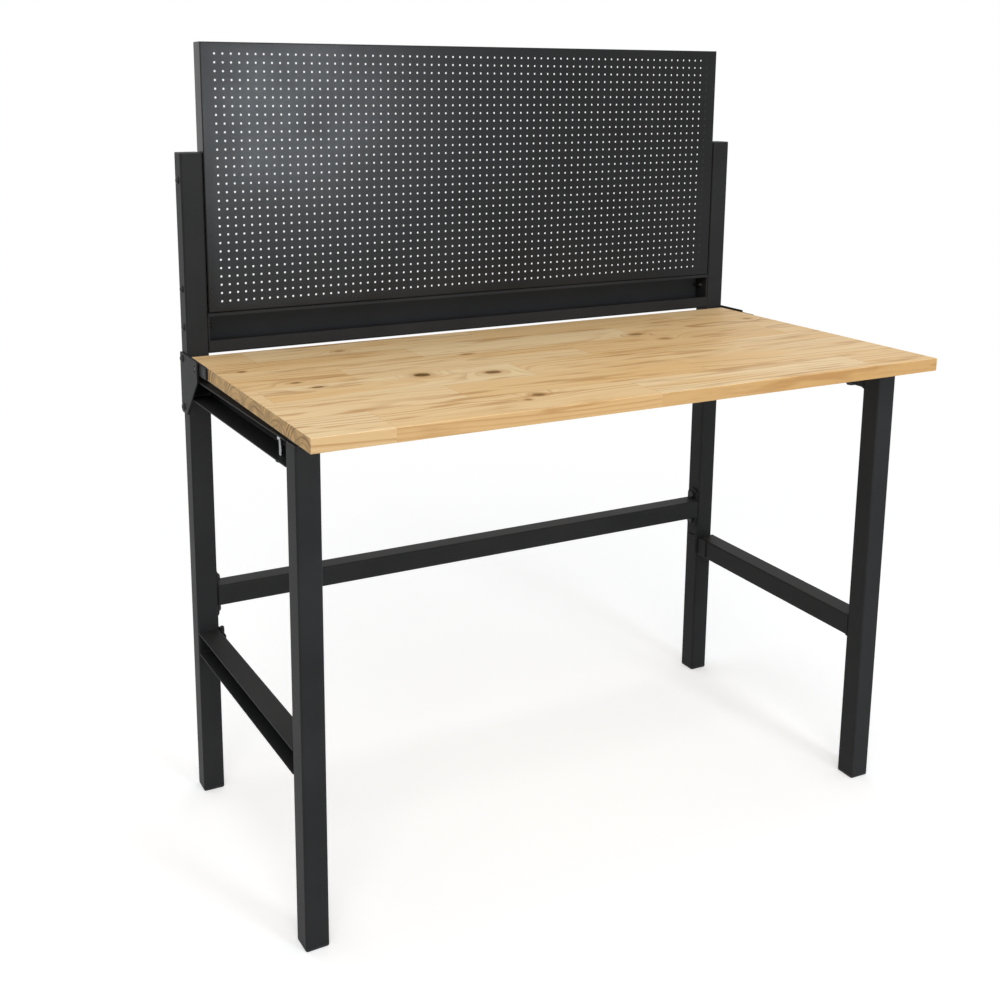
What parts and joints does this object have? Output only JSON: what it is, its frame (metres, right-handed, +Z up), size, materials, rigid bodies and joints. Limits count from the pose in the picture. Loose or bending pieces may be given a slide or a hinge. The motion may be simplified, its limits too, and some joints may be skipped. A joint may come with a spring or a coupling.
{
  "type": "folding workbench",
  "caption": "Folding workbench: a pine worktop hinged to a black steel frame with a pegboard back panel, on side frames that swing in under it.",
  "frame": {"origin": "on the floor, in the middle of the bounding box's footprint", "axes": "+Z up, +Y towards the pegboard at the back, +X to the right of someone working at the bench"},
  "size_m": [1.2132, 0.645, 1.4053],
  "materials": {
    "powder_coat": "near-black satin powder coat with a fine texture",
    "black_plastic": "moulded black plastic",
    "black_bolt": "blackened steel",
    "zinc": "bright zinc plating",
    "rubber": "matt black rubber",
    "pine": "clear satin varnish on glued pine staves"
  },
  "bodies": {
    "rear_frame": {"rear_beam_lower": "powder_coat", "rear_beam_upper": "powder_coat", "pegboard": "powder_coat", "upright_left": "powder_coat", "worktop_bracket_left": "powder_coat", "upper_beam_plate_left": "powder_coat", "upright_foot_left": "black_plastic", "upright_cap_left": "black_plastic", "upper_beam_bolt_left": "black_bolt", "hinge_leaf_upright_lower_left": "powder_coat", "bracket_bolt_lower_left": "black_bolt", "lower_beam_bolt_lower_left": "black_bolt", "pegboard_bolt_lower_left": "black_bolt", "hinge_pin_lower_left": "black_bolt", "hinge_leaf_upright_upper_left": "powder_coat", "bracket_bolt_upper_left": "black_bolt", "lower_beam_bolt_upper_left": "black_bolt", "pegboard_bolt_upper_left": "black_bolt", "hinge_pin_upper_left": "black_bolt", "upright_right": "powder_coat", "worktop_bracket_right": "powder_coat", "upper_beam_plate_right": "powder_coat", "upright_foot_right": "black_plastic", "upright_cap_right": "black_plastic", "upper_beam_bolt_right": "black_bolt", "hinge_leaf_upright_lower_right": "powder_coat", "bracket_bolt_lower_right": "black_bolt", "lower_beam_bolt_lower_right": "black_bolt", "pegboard_bolt_lower_right": "black_bolt", "hinge_pin_lower_right": "black_bolt", "hinge_leaf_upright_upper_right": "powder_coat", "bracket_bolt_upper_right": "black_bolt", "lower_beam_bolt_upper_right": "black_bolt", "pegboard_bolt_upper_right": "black_bolt", "hinge_pin_upper_right": "black_bolt"},
    "left_frame": {"front_leg_left": "powder_coat", "leg_foot_left": "black_plastic", "leg_cap_left": "black_plastic", "upper_rail_left": "powder_coat", "lower_rail_left": "powder_coat", "lock_bolt_left": "zinc", "lock_nut_left": "zinc", "hinge_leaf_rail_lower_left": "powder_coat", "hinge_leaf_rail_upper_left": "powder_coat"},
    "right_frame": {"front_leg_right": "powder_coat", "leg_foot_right": "black_plastic", "leg_cap_right": "black_plastic", "upper_rail_right": "powder_coat", "lower_rail_right": "powder_coat", "lock_bolt_right": "zinc", "lock_nut_right": "zinc", "hinge_leaf_rail_lower_right": "powder_coat", "hinge_leaf_rail_upper_right": "powder_coat"},
    "worktop": {"worktop_board": "pine", "hinge_plate_left": "powder_coat", "pivot_pin_left": "black_bolt", "rest_pad_left": "rubber", "hinge_plate_right": "powder_coat", "pivot_pin_right": "black_bolt", "rest_pad_right": "rubber"}
  },
  "joints": [
    {"name": "left_frame_swing", "type": "hinge", "parent": "rear_frame", "child": "left_frame", "pos_m": [-0.555, 0.2815, 0], "axis": [0, 0, 1], "range_deg": [0, 88.6]},
    {"name": "right_frame_swing", "type": "hinge", "parent": "rear_frame", "child": "right_frame", "pos_m": [0.555, 0.2815, 0], "axis": [0, 0, -1], "range_deg": [0, 88.6]},
    {"name": "worktop_lift", "type": "hinge", "parent": "rear_frame", "child": "worktop", "pos_m": [0, 0.2275, 0.8435], "axis": [-1, 0, 0], "range_deg": [0, 10]}
  ]
}
